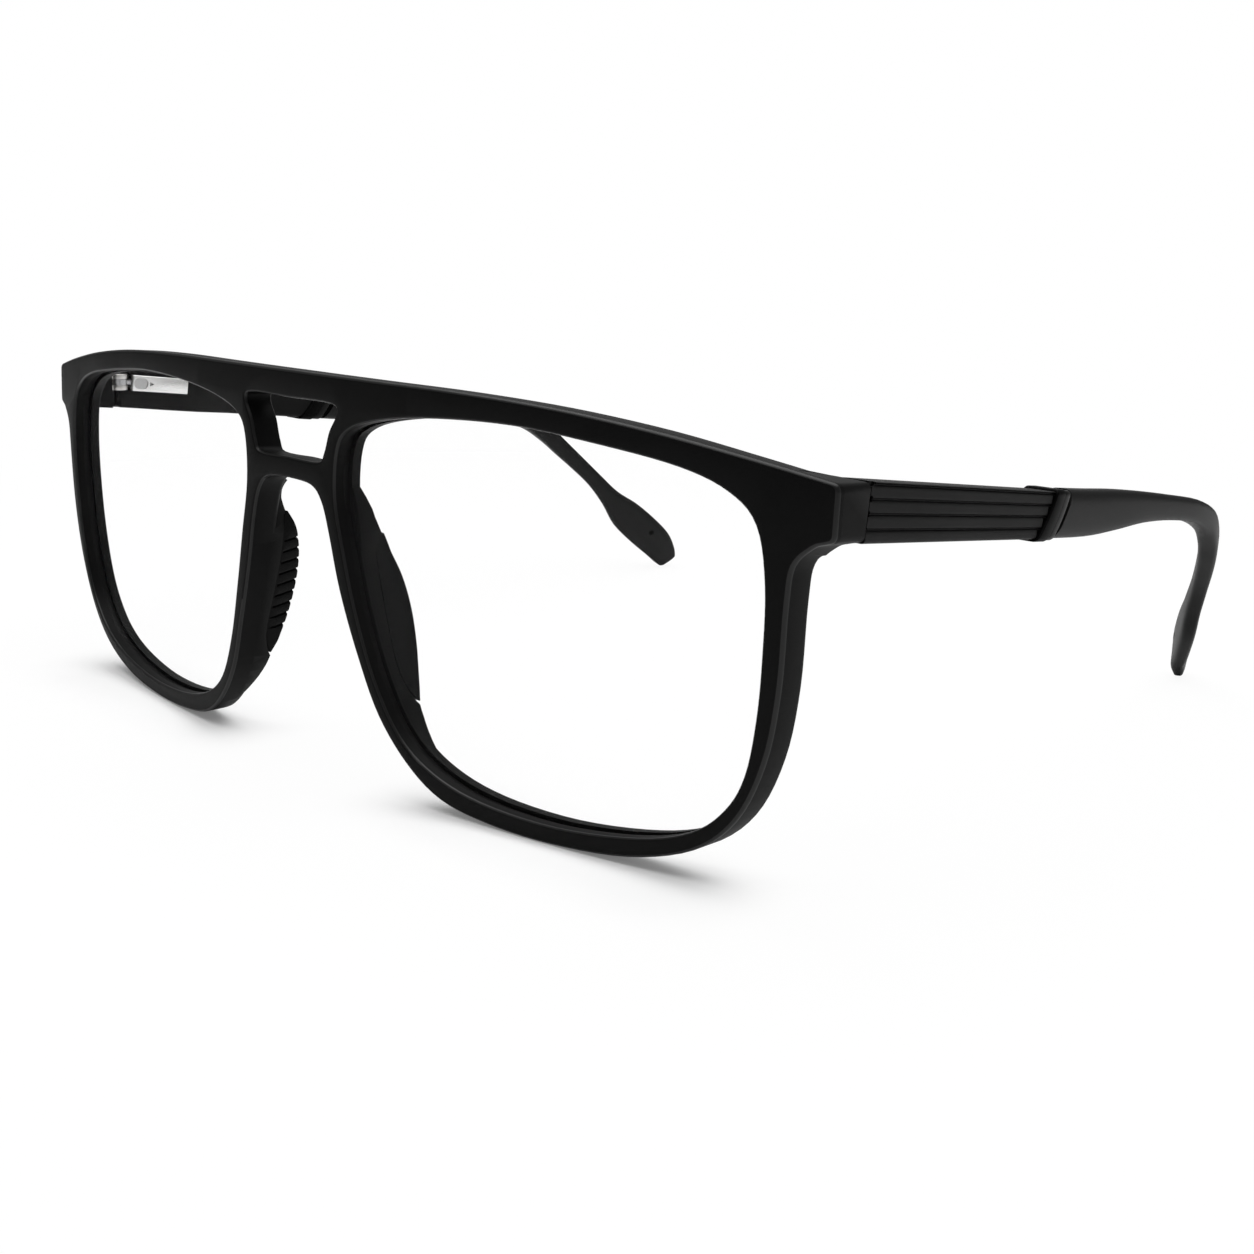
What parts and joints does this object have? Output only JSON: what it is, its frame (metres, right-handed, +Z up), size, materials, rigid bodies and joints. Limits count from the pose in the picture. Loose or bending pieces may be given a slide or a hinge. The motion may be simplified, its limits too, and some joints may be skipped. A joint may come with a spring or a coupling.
{
  "type": "aviator glasses",
  "caption": "Matte black double-bridge navigator glasses with clear lenses, ribbed nose pads, spring-hinged folding temples, slanted collars and curved ear tips.",
  "frame": {"origin": "middle of the footprint on the surface that the open frame stands on, at the height of that surface", "axes": "+X across the face towards the wearer's left, +Y back along the temples, +Z up; the lenses face -Y"},
  "size_m": [0.1452, 0.1333, 0.0497],
  "materials": {
    "frame_black": "matte moulded nylon",
    "temple_black": "satin moulded nylon",
    "collar_black": "satin moulded nylon",
    "core_black": "matte moulded nylon",
    "lens_clear": "clear polished plano lens",
    "pad_rubber": "soft matte elastomer",
    "hinge_steel": "satin nickel-silver",
    "screw_steel": "bright turned steel",
    "spring_steel": "drawn spring wire",
    "bush_nylon": "natural nylon",
    "nut_brass": "turned brass"
  },
  "bodies": {
    "front": {"front_frame": "frame_black", "lens_left": "lens_clear", "lens_right": "lens_clear", "nose_pad_left": "pad_rubber", "nose_pad_right": "pad_rubber", "hinge_leaf_left": "hinge_steel", "hinge_leaf_right": "hinge_steel"},
    "hinge_pin_left": {"hinge_screw_left": "screw_steel", "hinge_bush_left": "bush_nylon"},
    "slider_left": {"hinge_slider_left": "hinge_steel", "spring_nut_left": "nut_brass"},
    "temple_left": {"spring_housing_left": "hinge_steel", "housing_plug_left": "hinge_steel", "hinge_spring_left": "spring_steel", "temple_arm_left": "temple_black", "temple_core_left": "core_black", "collar_ring_left": "collar_black", "collar_band_left": "collar_black", "temple_tip_left": "temple_black"},
    "hinge_pin_right": {"hinge_screw_right": "screw_steel", "hinge_bush_right": "bush_nylon"},
    "slider_right": {"hinge_slider_right": "hinge_steel", "spring_nut_right": "nut_brass"},
    "temple_right": {"spring_housing_right": "hinge_steel", "housing_plug_right": "hinge_steel", "hinge_spring_right": "spring_steel", "temple_arm_right": "temple_black", "temple_core_right": "core_black", "collar_ring_right": "collar_black", "collar_band_right": "collar_black", "temple_tip_right": "temple_black"}
  },
  "joints": [
    {"name": "temple_fold_left", "type": "hinge", "parent": "front", "child": "hinge_pin_left", "pos_m": [0.06745, -0.04903, 0.0416], "axis": [0, 0, 1], "range_deg": [0, 68]},
    {"name": "temple_flex_left", "type": "hinge", "parent": "hinge_pin_left", "child": "slider_left", "pos_m": [0.06745, -0.04903, 0.0416], "axis": [0, 0, -1], "range_deg": [0, 8], "stiffness_Nm_per_rad": 0.3},
    {"name": "spring_travel_left", "type": "slide", "parent": "slider_left", "child": "temple_left", "axis": [-0.0243, 0.9939, -0.108], "range_m": [0, 0.00075], "deforming": ["hinge_spring_left"]},
    {"name": "temple_fold_right", "type": "hinge", "parent": "front", "child": "hinge_pin_right", "pos_m": [-0.06745, -0.04903, 0.0416], "axis": [0, 0, -1], "range_deg": [0, 86]},
    {"name": "temple_flex_right", "type": "hinge", "parent": "hinge_pin_right", "child": "slider_right", "pos_m": [-0.06745, -0.04903, 0.0416], "axis": [0, 0, 1], "range_deg": [0, 8], "stiffness_Nm_per_rad": 0.3},
    {"name": "spring_travel_right", "type": "slide", "parent": "slider_right", "child": "temple_right", "axis": [0.0243, 0.9939, -0.108], "range_m": [0, 0.00075], "deforming": ["hinge_spring_right"]}
  ],
  "couplings": [
    {"joint": "spring_travel_left", "follows": "temple_flex_left", "m_per_rad": 0.0052},
    {"joint": "spring_travel_right", "follows": "temple_flex_right", "m_per_rad": 0.0052}
  ]
}
